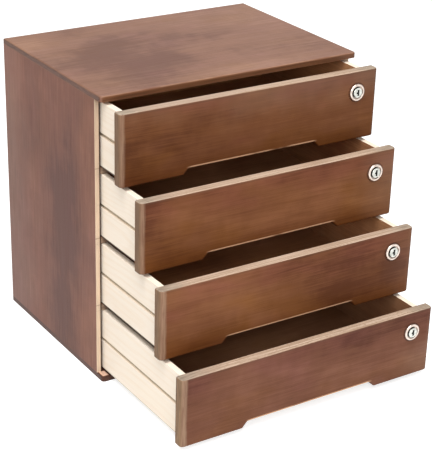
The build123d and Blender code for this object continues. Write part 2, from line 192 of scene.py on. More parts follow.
class Finish(Graph):
    """A procedural material that reads the place on its board, in millimetres. seed picks its patterns."""

    def __init__(self, name, seed=0):
        self.material = bpy.data.materials.new(name)
        super().__init__(self.material)
        place = self.add("ShaderNodeTexCoord", output="Object")
        self.place = self.vector("SCALE", place, Scale=1 / MM)
        self.places = [self.add("ShaderNodeSeparateXYZ", None, {0: self.place}, axis) for axis in (X, Y, Z)]
        self.x, self.y, self.z = self.places
        self.seed = seed

    def vector(self, operation, *operands, output=0, **sockets):
        """A Vector Math node on vectors."""
        sockets.update(enumerate(operands))
        return self.add("ShaderNodeVectorMath", {"operation": operation}, sockets, output)

    def noise(self, size, turn=0, detail=2.0, roughness=0.5):
        """Soft noise about 0.5, with cells as long as size along each axis. turn picks another pattern."""
        shift = SEED_STEP * self.seed + TURN_STEP * turn
        cells = [1 / length for length in size]
        vector = self.vector("MULTIPLY_ADD", self.place, cells, (shift, 2.1 * shift, 1.7 * shift))
        sockets = {"Vector": vector, "Scale": 1.0, "Detail": detail, "Roughness": roughness}
        return self.add("ShaderNodeTexNoise", None, sockets)

    def rise(self, value, start, end):
        """0 below start, 1 above end, and a smooth step between."""
        settings = {"interpolation_type": "SMOOTHSTEP"}
        sockets = {"Value": value, "From Min": start, "From Max": end}
        return self.add("ShaderNodeMapRange", settings, sockets)

    def fall(self, value, start, end):
        """1 below start, 0 above end, and a smooth step between."""
        return 1 - self.rise(value, start, end)

    def patch(self, centre, size):
        """1 at the centre of a soft patch, falling to 0 where it ends, with a bent outline."""
        share = self.vector("DIVIDE", self.vector("SUBTRACT", self.place, centre), size)
        reach = self.vector("LENGTH", share, output="Value")
        return self.fall(reach + (self.noise(BENT_CELLS, 13) - 0.5), 0.1, 1.1)

    def from_axis(self, axis):
        """Distance from the line along Y through the place (x, z)."""
        return ((self.x - axis[0]) ** 2 + (self.z - axis[1]) ** 2) ** 0.5

    def blend(self, share, first, second, kind="MIX"):
        """The first colour where the share is 0 and the second where it is 1, or the two multiplied."""
        settings = {"data_type": "RGBA", "blend_type": kind}
        sockets = {MIX_SHARE: share, MIX_FIRST: first, MIX_SECOND: second}
        return self.add("ShaderNodeMix", settings, sockets, MIX_COLOUR)

    def surface(self, colour, roughness, height, relief, **fixed):
        """Ends the material: a principled surface with a height of 0 to 1 over a relief in millimetres."""
        bump = {"Height": height, "Distance": relief * MM, "Strength": 1.0}
        normal = self.add("ShaderNodeBump", None, bump)
        sockets = {"Base Color": colour, "Roughness": roughness, "Normal": normal}
        sockets.update({name.replace("_", " "): value for name, value in fixed.items()})
        shader = self.add("ShaderNodeBsdfPrincipled", None, sockets)
        self.add("ShaderNodeOutputMaterial", None, {"Surface": shader})
        return self.material


def box_mm(node):
    """Lowest and highest corner of a node, in millimetres."""
    return [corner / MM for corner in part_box(node)]


def lock_axis(n):
    """Place (x, z) of the axis of drawer n's lock, in millimetres."""
    low, high = box_mm(f"lock_plug_{n}")
    return (low.x + high.x) / 2, (low.z + high.z) / 2


def along(grain, length, width):
    """Cell sizes of a noise: one length along the grain, which is the axis 0, 1 or 2, and one across it."""
    return [length if axis == grain else width for axis in range(3)]


def rings(finish, grain, pith, spacing):
    """Growth rings about a pith along the grain, bent by a slow noise, as a share of late wood."""
    across = [axis for axis in range(3) if axis != grain]
    offsets = [finish.places[axis] - centre for axis, centre in zip(across, pith)]
    bend = finish.noise(along(grain, 150, 45), 7, detail=1.0) * (5 * spacing)
    radius = (offsets[0] ** 2 + offsets[1] ** 2) ** 0.5 + bend
    ring = (radius * (2 * math.pi / spacing)).wave() * 0.5 + 0.5
    return finish.rise(ring, 0.35, 1.0)


# Stains, each as it looks on average
TOP_STAIN = screen(127, 89, 70)
SIDE_STAIN = screen(112, 66, 48)
BACK_STAIN = screen(112, 73, 54)
INSIDE_STAIN = screen(132, 90, 62)
FRONT_STAINS = {
    1: screen(104, 63, 37),
    2: screen(111, 68, 41),
    3: screen(112, 69, 43),
    4: screen(109, 69, 51),
}
# The stain inside each drawer, lightened as painted light, most in the upper drawers, which get less light
DRAWER_STAINS_WITH_LIGHT = {
    1: screen(180, 131, 91),
    2: screen(170, 122, 85),
    3: screen(170, 122, 85),
    4: screen(142, 101, 72),
}
PORE = screen(56, 32, 22)
# Painted sheen of the varnish
PAINTED_SHEEN = screen(186, 162, 146)

# What a stain is multiplied by
DARK_SHARE = (0.59, 0.51, 0.5, 1.0)  # where it is darkest
LIGHT_SHARE = (1.38, 1.5, 1.62, 1.0)  # where it is lightest
MAUVE_CAST = (1.06, 0.95, 1.28, 1.0)
GOLD_CAST = (1.0, 0.98, 0.64, 1.0)
LOWER_SHADE_CAST = (0.78, 0.66, 0.49, 1.0)  # painted shade towards the lower edges of the upper three fronts, where the drawer below blocks light from underneath
REAR_PAINTED_LIGHT = {1: 1.12, 2: 1.08, 3: 1.05, 4: 1.0}  # painted light at the rear of each drawer's inside

# Wear and painted highlight of each drawer front
END_GRAIN_AND_HIGHLIGHT = {1: 0.66, 2: 0.7, 3: 0.82, 4: 0.92}  # share of end grain on the end faces, and of the painted highlight on the rounding, mostly at the left
END_TONE = {1: 0.97, 2: 0.98, 3: 1.15, 4: 1.4}  # how light the end grain is
HIGHLIGHT_WIDTH = {1: 3.2, 2: 2.9, 3: 4.6, 4: 4.4}  # of the painted highlight on the rounding at the left end, in millimetres
GREY_REACH = {1: 150, 2: 50, 3: 20, 4: 55}  # of the grey part of the upper edge, in millimetres
FRONT_LEAN = 0.6 / 37  # how much the cast turns to mauve with each millimetre up the front

# Wood at the edges, some of it painted highlight and shade
SANDED_EDGE = screen(201, 177, 156)
SANDED_LINE = screen(150, 122, 99)
WEATHERED_EDGE = screen(166, 150, 132)
GREY_EDGE = screen(168, 144, 126)
# Painted highlight on the rounding at a drawer front's left end, and lines in it
ROUND_HIGHLIGHT = screen(156, 126, 103)
ROUND_HIGHLIGHT_LINE = screen(132, 101, 82)
END_GRAIN = screen(128, 102, 78)
# Painted shade on the rounding at a drawer front's right end
END_SHADE = screen(88, 74, 70)
END_LINE = screen(84, 64, 50)
PANEL_END = screen(104, 70, 56)
# Painted highlight along the top panel's upper rounding
RIM_HIGHLIGHT = screen(178, 144, 118)
# Paler colour on the rounding over the finger notch
NOTCH_PALE = screen(226, 180, 142)
FRONT_EDGE = screen(110, 69, 42)
# Greyer raw edge: painted shade on the dividers' front edges, and the upper part of the side panels' raw
# front edges
GREYED_EDGE = screen(156, 132, 112)
SHADE_AND_DARK_STAIN = screen(52, 32, 22)  # dark brown: painted shade where parts meet or hide one another, and the dark stain of the bottom panel's rim

# Bare wood
RAW_PINE = screen(252, 239, 222)
LATE_PINE = screen(243, 222, 196)
RAW_EDGE = screen(204, 172, 140)
BARE_LIP = screen(216, 178, 154)
# Painted shade in the drawer sides' runner grooves
GROOVE_SHADE = screen(190, 174, 152)
UPPER_EDGE_SHADE = (0.92, 0.91, 0.9, 1.0)  # painted shade: what the drawer sides' upper edges are multiplied by
RUNNER_DARK = screen(112, 76, 50)
RUNNER_PALE = screen(160, 116, 80)

# Metal: plates as (clean, dull), the ring's warmer and the plug's greyer as painted reflection, and painted
# shade in the locks' dark parts
RING_PLATE_WITH_REFLECTION = (screen(224, 209, 198), screen(200, 184, 173))
PLUG_PLATE_WITH_REFLECTION = (screen(210, 211, 204), screen(180, 182, 175))
NUT_PLATE = (screen(205, 200, 192), screen(180, 175, 168))
SCREW_PLATE = (screen(178, 178, 174), screen(142, 140, 134))
RECESS = screen(110, 108, 102)
DEEP_RECESS = screen(66, 66, 60)
DEEP_R = 6.1  # outer edge of the darkest painted shade in a ring's recess, in millimetres
WHOLE_PLUG = 20.0  # a radius past the plug's edge, in millimetres
# Painted shade in a keyhole
KEYHOLE = screen(34, 32, 30)
KEYHOLE_SHIFT = 0.4  # of the painted shade round the keyhole, to the right of the axis, in millimetres

# Gloss and relief, in millimetres, of the surfaces
CARCASS_GLOSS = 0.27
FRONT_GLOSS = 0.12
PINE_GLOSS = 0.3
STAINED_RELIEF = 0.12
PINE_RELIEF = 0.1
RUNNER_RELIEF = 0.08
NICKEL_RELIEF = 0.01
STEEL_RELIEF = 0.02

# Where the stain took lighter or darker: (centre, size, tone, cast), in millimetres
THROUGH = 500  # size of a patch that runs right through its board
TOP_CLOUDS = (
    ((-40, 22, 315), (120, 75, THROUGH), -0.45, 0.1),
    ((-80, -35, 315), (120, 90, THROUGH), -0.45, 0.0),
    ((-125, -70, 315), (50, 50, THROUGH), 0.0, -0.5),
    ((-150, 85, 315), (50, 50, THROUGH), 0.2, -0.5),
    ((20, -98, 315), (160, 24, THROUGH), 0.2, -0.5),
    ((130, 70, 315), (70, 60, THROUGH), 0.25, -0.3),
)
LEFT_CLOUDS = (
    ((-154, -28, 140), (THROUGH, 46, 180), -0.95, 0.1),
    ((-154, 70, 280), (THROUGH, 100, 70), 0.6, 0.0),
    ((-154, 90, 60), (THROUGH, 45, 110), 0.15, 0.5),
    ((-154, -84, 250), (THROUGH, 36, 130), 0.8, -0.7),
    ((-154, -85, 45), (THROUGH, 45, 80), 0.35, -0.6),
)
FRONT_CLOUDS = {
    1: (
        ((-105, 0, 290), (60, THROUGH, 16), 0.3, -0.3),
        ((-40, 0, 272), (60, THROUGH, 18), 0.2, -0.2),
        ((-150, 0, 248), (60, THROUGH, 30), -0.6, -0.8),
        ((145, 0, 255), (30, THROUGH, 30), 0.3, 0.0),
    ),
    2: (
        ((-98, 0, 212), (50, THROUGH, 34), 0.5, -0.2),
        ((65, 0, 230), (100, THROUGH, 24), -0.6, 0.2),
        ((-150, 0, 215), (30, THROUGH, 30), -0.3, 0.0),
        ((130, 0, 182), (45, THROUGH, 28), 0.3, 0.0),
    ),
    3: (
        ((-60, 0, 128), (90, THROUGH, 18), 0.3, -0.3),
        ((-130, 0, 150), (60, THROUGH, 22), 0.45, -0.3),
        ((60, 0, 150), (80, THROUGH, 16), 0.4, -0.2),
        ((140, 0, 112), (40, THROUGH, 34), -0.8, 0.6),
        ((-110, 0, 98), (90, THROUGH, 20), -0.2, -0.5),
        ((60, 0, 102), (80, THROUGH, 18), -0.3, -0.5),
    ),
    4: (
        ((55, 0, 72), (130, THROUGH, 24), -0.95, 0.2),
        ((-110, 0, 64), (70, THROUGH, 26), 0.5, -0.4),
        ((80, 0, 26), (160, THROUGH, 24), 0.7, -0.1),
        ((-145, 0, 22), (35, THROUGH, 18), -0.3, 0.2),
    ),
}

# Where a pale sheen of the varnish is painted: (centre, size, share)
FRONT_PAINTED_SHEEN = {
    1: (((120, 0, 312), (300, THROUGH, 44), 0.11),),
    2: (((150, 0, 195), (50, THROUGH, 60), 0.12),),
    3: (((150, 0, 130), (50, THROUGH, 60), 0.06),),
    4: (((150, 0, 24), (60, THROUGH, 34), 0.14),),
}
SIDE_PAINTED_SHEEN = (((-154, 110, 160), (THROUGH, 75, 400), 0.14),)


def stained(finish, grain, pith, stain, clouds=(), vivid=0.35, fine=1.0, lean=0.0, broad=2.7):
    """Stained wood as (colour, height): a cloudy stain with two casts, growth rings, streaks and pores.

    The clouds are placed one by one. vivid is the strength of the casts, fine that of the fibres, and broad
    that of the widest patches. lean is added to the cast, which is golden below 0 and mauve above.
    """
    slow = finish.noise(along(grain, 130, 65), 1)
    blotch = finish.noise(along(grain, 34, 20), 10, detail=2.0)
    mottle = finish.noise(along(grain, 11, 6), 22)
    streaks = finish.noise(along(grain, 80, 3.0), 2, detail=3.0, roughness=0.6)
    fibres = finish.noise(along(grain, 40, 0.9), 3, detail=1.0)
    crossing = finish.noise(along(grain, 9, 24), 23)
    tone = (slow - 0.5) * broad + (blotch - 0.5) * 0.6 + (mottle - 0.5) * 0.3
    tone = tone + (streaks - 0.5) * 0.4 + (fibres - 0.5) * fine + (crossing - 0.5) * 0.35
    cast = (finish.noise(along(grain, 80, 40), 12) - 0.5) * 3.0 + (blotch - 0.5) * 1.2 + lean
    for centre, size, tone_step, cast_step in clouds:
        patch = finish.patch(centre, size)
        tone = tone + patch * tone_step
        cast = cast + patch * cast_step
    tone = tone - rings(finish, grain, pith, 7.0) * 0.1
    dark, light = [[a * b for a, b in zip(share, stain)] for share in (DARK_SHARE, LIGHT_SHARE)]
    colour = finish.blend(finish.rise(tone, -0.8, 0.05), dark, stain)
    colour = finish.blend(finish.rise(tone, -0.05, 0.8), colour, light)
    colour = finish.blend(finish.rise(cast, 0.0, 0.9) * vivid, colour, MAUVE_CAST, "MULTIPLY")
    colour = finish.blend(finish.fall(cast, -0.9, 0.0) * vivid, colour, GOLD_CAST, "MULTIPLY")
    pores = finish.rise(finish.noise(along(grain, 9, 0.33), 4, detail=1.0), 0.68, 0.8)
    colour = finish.blend(pores * 0.3, colour, PORE)
    height = 0.6 + (streaks - 0.5) * 0.5 + (fibres - 0.5) * 0.6 - pores * 0.5
    return colour, height


def raw(finish, grain, pith):
    """Raw pine as (colour, height): pale early wood with soft late-wood lines and fine fibres."""
    late = rings(finish, grain, pith, 5.5)
    streaks = finish.noise(along(grain, 80, 1.4), 5, detail=3.0)
    fibres = finish.noise(along(grain, 14, 0.3), 6)
    tone = late * 0.22 + (streaks - 0.5) * 0.8 + (fibres - 0.5) * 0.4
    colour = finish.blend(finish.rise(tone, -0.2, 0.9), RAW_PINE, LATE_PINE)
    height = 0.5 + (streaks - 0.5) * 0.4 + (fibres - 0.5) * 0.7
    return colour, height


def painted_sheen(finish, colour, patches):
    """A colour under soft pale patches of painted sheen."""
    for centre, size, share in patches:
        colour = finish.blend(finish.patch(centre, size) * share, colour, PAINTED_SHEEN)
    return colour


def lined(finish, size, turn, plain, line):
    """A colour with fine lines of another, drawn out as the cell sizes say."""
    share = finish.rise(finish.noise(size, turn, detail=3.0, roughness=0.6), 0.36, 0.66)
    return finish.blend(share, plain, line)


def satin(height):
    """Roughness of the thin varnish over the stain: a little uneven along the fibres."""
    return 0.52 - (height - 0.5) * 0.25


def varnished(finish, colour, height):
    """The finished material of a carcass board."""
    return finish.surface(colour, satin(height), height, STAINED_RELIEF, Specular_IOR_Level=CARCASS_GLOSS)


def end_light_and_grain(finish, n, colour, to_end, rear_y, uneven):
    """A drawer front's colour with its ends: a painted highlight on the rounding, mostly at the left,
    painted shade on the rounding at the right, and end grain.
    """
    right = finish.rise(finish.x, -1, 1)
    # Painted highlight on the rounding, mostly at the left end
    left_highlight = finish.fall(to_end + (uneven - 0.5) * 3.0 - HIGHLIGHT_WIDTH[n], 0, 3.5) * (1 - right * 0.9)
    round_highlight = lined(finish, (1.3, 1.3, 26), 11, ROUND_HIGHLIGHT, ROUND_HIGHLIGHT_LINE)
    colour = finish.blend(left_highlight * END_GRAIN_AND_HIGHLIGHT[n], colour, round_highlight)
    # Painted shade on the rounding at the right end
    colour = finish.blend(right * finish.fall(to_end, 0.6, 3.6) * 0.35, colour, END_SHADE)
    plain = toned(END_GRAIN, END_TONE[n])
    end_wood = lined(finish, (3, 1.4, 24), 15, plain, toned(plain, 0.62))
    end_wood = finish.blend(finish.rise(finish.y, rear_y - 2.2, rear_y - 0.8) * 0.6, end_wood, END_LINE)
    end_face = finish.fall(to_end * (1 + right * 2.5), 0.1, 2.0)
    return finish.blend(end_face * END_GRAIN_AND_HIGHLIGHT[n], colour, end_wood)


def pale_notch(finish, low_z):
    """Share of a paler colour on the rounding over the finger notch."""
    above = finish.z - (low_z + NOTCH_H)
    height = finish.fall(above, 1.3, 2.7) * finish.rise(above, 0.0, 0.3)
    width = finish.fall(abs(finish.x), NOTCH_W / 2 - 4.5, NOTCH_W / 2 + 3.5)
    return height * width * finish.rise(finish.noise((30, 30, 30), 16), 0.2, 0.5)


def sanded_edge(finish, n, left_x, to_end, uneven):
    """Colour of a drawer front's upper edge: sanded and specked, grey at the left, weathered at the ends."""
    sanded = lined(finish, along(X, 80, 0.8), 9, SANDED_EDGE, SANDED_LINE)
    specks = finish.rise(finish.noise((3.0, 1.0, 1.0), 17, detail=2.0), 0.5, 0.72)
    sanded = finish.blend(specks * (0.75 if n == LOWEST else 0.3), sanded, SANDED_LINE)
    grey = finish.fall(finish.x - left_x + uneven * 20, GREY_REACH[n] * 0.6, GREY_REACH[n] * 1.3)
    sanded = finish.blend(grey * 0.65, sanded, GREY_EDGE)
    weathered = lined(finish, along(X, 14, 1.2), 21, WEATHERED_EDGE, toned(WEATHERED_EDGE, 0.5))
    return finish.blend(finish.fall(to_end + uneven * 20, 14, 50) * 0.8, sanded, weathered)


def front_finish(n):
    """A drawer front: stained, with painted light and end grain at the ends, a pale line over the notch, a
    painted shadow round the lock, painted shade low down, painted sheen and a sanded upper edge.
    """
    node = f"drawer_front_{n}"
    low, high = box_mm(node)
    finish = Finish(node, 10 + n)
    lean = (finish.z - (low.z + high.z) / 2) * FRONT_LEAN
    pith = (low.y + 70, low.z + 20)
    vivid = 0.5 if n == LOWEST else 0.75
    colour, height = stained(finish, X, pith, FRONT_STAINS[n], FRONT_CLOUDS[n], vivid, fine=0.8, lean=lean)
    # Painted shade towards the lower edge, where the drawer below blocks light from underneath
    if n != LOWEST:
        waves = finish.noise((60, 60, 60), 14) * 14
        lower = finish.fall(finish.z + waves, low.z + 6, low.z + 30)
        colour = finish.blend(lower, colour, LOWER_SHADE_CAST, "MULTIPLY")
    # Painted sheen on the varnish
    colour = painted_sheen(finish, colour, FRONT_PAINTED_SHEEN[n])
    to_end = high.x - abs(finish.x)
    to_top = high.z - finish.z
    uneven = finish.noise((8, 8, 20), 8, detail=3.0)
    colour = finish.blend(finish.fall(to_top, 1.6, 3.2) * 0.35, colour, END_LINE)
    colour = end_light_and_grain(finish, n, colour, to_end, high.y, uneven)
    # Painted shadow on the wood round the lock ring
    lock_shadow = finish.fall(finish.from_axis(lock_axis(n)), RING_R, RING_R + 2.2)
    colour = finish.blend(lock_shadow * 0.7, colour, SHADE_AND_DARK_STAIN)
    colour = finish.blend(pale_notch(finish, low.z), colour, NOTCH_PALE)
    upper = sanded_edge(finish, n, low.x, to_end, uneven)
    colour = finish.blend(finish.fall(to_top, 0.4, 0.9), colour, upper)
    # The stain inside the drawer, lightened as painted light
    inside = finish.rise(finish.y, high.y - 0.5, high.y - 0.1) * finish.rise(to_top, 0.3, 0.9)
    colour = finish.blend(inside, colour, DRAWER_STAINS_WITH_LIGHT[n])
    roughness = satin(height) + 0.1
    return finish.surface(colour, roughness, height, STAINED_RELIEF, Specular_IOR_Level=FRONT_GLOSS)


def top_finish():
    """The top panel: cloudy stain, with a painted highlight along the rounding and other wood on the upright
    edges.
    """
    low, high = box_mm("top_panel")
    finish = Finish("top_panel", 1)
    colour, height = stained(finish, X, (64, 255), TOP_STAIN, TOP_CLOUDS, vivid=0.3, fine=0.6, broad=1.7)
    to_end = high.x - abs(finish.x)
    to_front = finish.y - low.y
    upright = finish.fall(finish.z, high.z - 1.2, high.z - 0.3)
    end_wood = lined(finish, (3, 14, 0.9), 15, PANEL_END, toned(PANEL_END, 0.55))
    front_wood = lined(finish, (50, 3, 1.0), 18, FRONT_EDGE, toned(FRONT_EDGE, 0.6))
    for distance, wood in ((to_end, end_wood), (to_front, front_wood)):
        colour = finish.blend(finish.fall(distance, 0.3, 0.9) * upright * 0.9, colour, wood)
    # Painted highlight along the upper rounding
    near = finish.fall(to_front.least(to_end + 0.6), 0.7, PANEL_EDGE_R)
    uneven = finish.rise(finish.noise((22, 22, 22), 8, detail=3.0), 0.3, 0.6)
    colour = finish.blend(near * (1 - upright) * uneven * 0.3, colour, RIM_HIGHLIGHT)
    colour = finish.blend(finish.fall(finish.z, low.z + 0.1, low.z + 0.4), colour, INSIDE_STAIN)
    return varnished(finish, colour, height)


def raw_strip(finish, pith, inner_x):
    """Colour of a side panel's raw front edge: lines at the dividers, greyer above and painted shade along
    the inner edge.
    """
    bare, _ = raw(finish, Z, pith)
    bare = finish.blend(0.75, bare, lined(finish, (1.6, 3, 40), 19, RAW_EDGE, toned(RAW_EDGE, 0.78)))
    for n in DIVIDERS:
        low, high = box_mm(f"divider_{n}")
        upper = finish.fall(abs(finish.z - high.z), 0.3, 0.9)
        lower = finish.fall(abs(finish.z - low.z), 0.1, 0.5) * 0.3
        bare = finish.blend(upper.most(lower) * 0.4, bare, FRONT_EDGE)
    # Greyer towards the top
    bare = finish.blend(finish.rise(finish.z, 150, 290) * 0.45, bare, GREYED_EDGE)
    # Painted shade along the inner edge, by the gap to the drawer sides
    return finish.blend(finish.fall(abs(finish.x) - inner_x, 1.1, 1.7), bare, SHADE_AND_DARK_STAIN)


def side_finish(side, hand, seed, clouds):
    """A side panel: stained outside under a painted sheen, plainer inside with painted shade behind the
    front edge, which is left raw.
    """
    node = f"{side}_side_panel"
    low, high = box_mm(node)
    inner_x = min(abs(low.x), abs(high.x))
    finish = Finish(node, seed)
    pith = (hand * 210, 30)
    colour, height = stained(finish, Z, pith, SIDE_STAIN, clouds, fine=1.1, broad=1.9)
    # Painted sheen on the outside
    colour = painted_sheen(finish, colour, SIDE_PAINTED_SHEEN)
    inner = finish.fall(finish.x * hand, inner_x + 0.1, inner_x + 0.4)
    colour = finish.blend(inner * 0.8, colour, INSIDE_STAIN)
    # Painted shade on the inner face behind the front edge
    colour = finish.blend(inner * finish.fall(finish.y, low.y + 10, low.y + 40) * 0.7, colour, SHADE_AND_DARK_STAIN)
    strip = raw_strip(finish, pith, inner_x)
    colour = finish.blend(finish.fall(finish.y, low.y + 0.2, low.y + 0.6), colour, strip)
    return varnished(finish, colour, height)


def back_finish():
    """The back panel: thin stained board."""
    finish = Finish("back_panel", 5)
    return varnished(finish, *stained(finish, Z, (40, 180), BACK_STAIN))


def bottom_finish():
    """The bottom panel: stained, with a dark rim and bare wood in front of the side panels."""
    low, high = box_mm("bottom_panel")
    side_front = box_mm("left_side_panel")[0].y
    finish = Finish("bottom_panel", 2)
    colour, height = stained(finish, X, (low.y + 60, -50), toned(SIDE_STAIN, 0.7))
    to_end = high.x - abs(finish.x)
    colour = finish.blend(finish.fall(finish.y, low.y + 0.6, low.y + 1.8) * 0.5, colour, SHADE_AND_DARK_STAIN)
    colour = finish.blend(finish.fall(to_end, 0.3, 0.9) * 0.45, colour, SHADE_AND_DARK_STAIN)
    upper = finish.rise(finish.z, high.z - 0.3, high.z - 0.1)
    past_rim = finish.rise(finish.y, low.y + 2.2, low.y + 2.8)
    deep = past_rim * finish.fall(finish.y, side_front - 0.3, side_front)
    wide = finish.rise(to_end, 1.6, 2.1) * finish.fall(to_end, 8.2, 8.8)
    bare = lined(finish, (2, 4, 4), 20, BARE_LIP, toned(BARE_LIP, 0.8))
    return varnished(finish, finish.blend(upper * deep * wide, colour, bare), height)


def divider_finish(n):
    """A divider: plain stain with painted shade on its front edge."""
    node = f"divider_{n}"
    low, _ = box_mm(node)
    finish = Finish(node, 5 + n)
    colour, height = stained(finish, X, (low.y + 60, low.z - 50), INSIDE_STAIN)
    edge = lined(finish, along(X, 30, 1.5), 8, GREYED_EDGE, toned(GREYED_EDGE, 0.6))
    # Painted shade on the front edge
    colour = finish.blend(finish.fall(finish.y, low.y + 0.15, low.y + 0.5) * 0.85, colour, edge)
    return varnished(finish, colour, height)


def box_finish(node, n, grain, seed, axis, sign):
    """A board of drawer n's box: raw pine, stained on the face that looks into the drawer.

    That face lies at the board's end of the axis, in the direction of sign. The drawer sides, whose axis
    is X, have painted shade in the runner groove, along the lower edge and on the upper one. The backs, with
    the axis Y, and the bases, with the axis Z, have painted light at the rear instead.
    """
    low, high = box_mm(node)
    finish = Finish(node, seed)
    centre = (low + high) / 2
    pith = [value + shift for a, (value, shift) in enumerate(zip(centre, PITH_SHIFT)) if a != grain]
    bare, height = raw(finish, grain, pith)
    # The stain inside, lightened as painted light
    dyed, _ = stained(finish, grain, pith, DRAWER_STAINS_WITH_LIGHT[n])
    depth = finish.places[axis] * sign - min(low[axis] * sign, high[axis] * sign)
    if axis == X:
        # Painted shade in the runner groove
        slot = finish.fall(abs(finish.z - centre.z), RUNNER_H / 2, RUNNER_H / 2 + 0.4)
        bare = finish.blend(slot * finish.rise(depth, 0.1, 0.6), bare, GROOVE_SHADE)
        # Painted shadow along the lower edge, in the gap above the drawer below
        lower_edge_shade = finish.fall(finish.z - low.z, 0.7, 1.7)
        bare = finish.blend(lower_edge_shade * (0.3 if n == LOWEST else 0.95), bare, SHADE_AND_DARK_STAIN)
        # Painted shade on the upper edge
        bare = finish.blend(finish.fall(high.z - finish.z, 0.1, 0.6), bare, UPPER_EDGE_SHADE, "MULTIPLY")
    else:
        # Painted light at the rear of the inside
        rear = finish.rise(finish.y, low.y + 35, low.y + 110) if axis == Z else 1.0
        dyed = finish.blend(rear, dyed, even(REAR_PAINTED_LIGHT[n]), "MULTIPLY")
    thickness = high[axis] - low[axis]
    inner = finish.rise(depth, thickness - 0.25, thickness - 0.05)
    colour = finish.blend(inner, bare, dyed)
    return finish.surface(colour, 0.62 - inner * 0.1, height, PINE_RELIEF, Specular_IOR_Level=PINE_GLOSS)


def runner_finish():
    """Hard brown wood of the runners and the dowels, with painted shade at the runners' front ends."""
    finish = Finish("runner_wood", 50)
    streaks = finish.noise(along(Y, 45, 0.9), 1, detail=3.0)
    colour = finish.blend(finish.rise(streaks, 0.3, 0.7), RUNNER_DARK, RUNNER_PALE)
    front = box_mm("left_runner_1")[0].y
    # Painted shade at the front end, in the mouth of the groove
    colour = finish.blend(finish.fall(finish.y, front + 1, front + 3), colour, SHADE_AND_DARK_STAIN)
    return finish.surface(colour, 0.45 - (streaks - 0.5) * 0.3, streaks, RUNNER_RELIEF)


def nickel_finish(name, seed, plate, axis=None, dark_r=0.0, dark_y=0.0, lit=0.0, slot=False):
    """Nickel plate with turning marks and spots.

    From the plane dark_y back, painted shade lies in the ring's mouth round a lock's axis, darkest within
    the radius dark_r. lit is how much of that is missing at the right, where the light gets in. slot paints
    shade on the plate round a keyhole.
    """
    finish = Finish(name, seed)
    marks = finish.noise((0.25, 4, 0.25), 1)
    spots = finish.noise((3, 3, 3), 2)
    colour = finish.blend(finish.rise(spots, 0.3, 0.7), *plate)
    if axis:
        radius = finish.from_axis(axis)
        right = finish.rise((finish.x - axis[0]) - (finish.z - axis[1]) * 0.5, -1.5, 4.0)
        # Painted shade in the recess, less at the right where the light gets in
        shade = finish.rise(finish.y, dark_y, dark_y + 0.4) * (1 - right * lit)
        colour = finish.blend(shade * finish.fall(radius, MOUTH_R, MOUTH_R + 0.3) * 0.45, colour, RECESS)
        colour = finish.blend(shade * finish.fall(radius, dark_r, dark_r + 0.3) * 0.85, colour, DEEP_RECESS)
    if slot:
        # Painted shade in the keyhole
        across, upright = abs(finish.x - (axis[0] + KEYHOLE_SHIFT)), abs(finish.z - axis[1])
        keyhole = finish.fall(across, 0.8, 1.5) * finish.fall(upright, 3.0, 3.8)
        colour = finish.blend(keyhole * 0.9, colour, KEYHOLE)
    roughness = 0.3 + (spots - 0.5) * 0.25 + (marks - 0.5) * 0.1
    return finish.surface(colour, roughness, marks, NICKEL_RELIEF, Metallic=1.0)


def steel_finish():
    """Zinc-plated steel of the screws and brads, greyer and duller than the nickel."""
    finish = Finish("plated_steel", 70)
    spots = finish.noise((1.2, 1.2, 1.2), 1, detail=3.0)
    colour = finish.blend(finish.rise(spots, 0.35, 0.65), *SCREW_PLATE)
    return finish.surface(colour, 0.34 + (spots - 0.5) * 0.3, spots, STEEL_RELIEF, Metallic=1.0)


def dress(node, material):
    """Gives a node of the model its finish."""
    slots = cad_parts[node].data.materials
    slots.clear()
    slots.append(material)


def dress_carcass():
    """The carcass's boards and runners, and all screws, pins and brads."""
    dress("top_panel", top_finish())
    dress("bottom_panel", bottom_finish())
    dress("left_side_panel", side_finish("left", -1, 3, LEFT_CLOUDS))
    dress("right_side_panel", side_finish("right", 1, 4, ()))
    dress("back_panel", back_finish())
    for n in DIVIDERS:
        dress(f"divider_{n}", divider_finish(n))
    wood = runner_finish()
    for node in ["carcass_dowels"] + [f"{side}_runner_{n}" for side, _ in SIDES for n in DRAWERS]:
        dress(node, wood)
    steel = steel_finish()
    for node in ["back_screws", "runner_brads"] + [f"cam_screw_{n}" for n in DRAWERS]:
        dress(node, steel)


def dress_drawer(n):
    """A drawer's front and the boards of its box."""
    dress(f"drawer_front_{n}", front_finish(n))
    for side, hand in SIDES:
        node = f"drawer_{side}_side_{n}"
        dress(node, box_finish(node, n, Y, 10 * n + 10 - hand, X, -hand))
    dress(f"drawer_back_{n}", box_finish(f"drawer_back_{n}", n, X, 60 + n, Y, -1))
    dress(f"drawer_base_{n}", box_finish(f"drawer_base_{n}", n, X, 70 + n, Z, 1))


def arc(centre, radius, start, end, count):
    """Points of an arc as rows of (radius, depth), between two angles in degrees."""
    turns = np.radians(np.linspace(start, end, count))
    return np.stack([centre[0] + radius * np.cos(turns), centre[1] + radius * np.sin(turns)], 1)


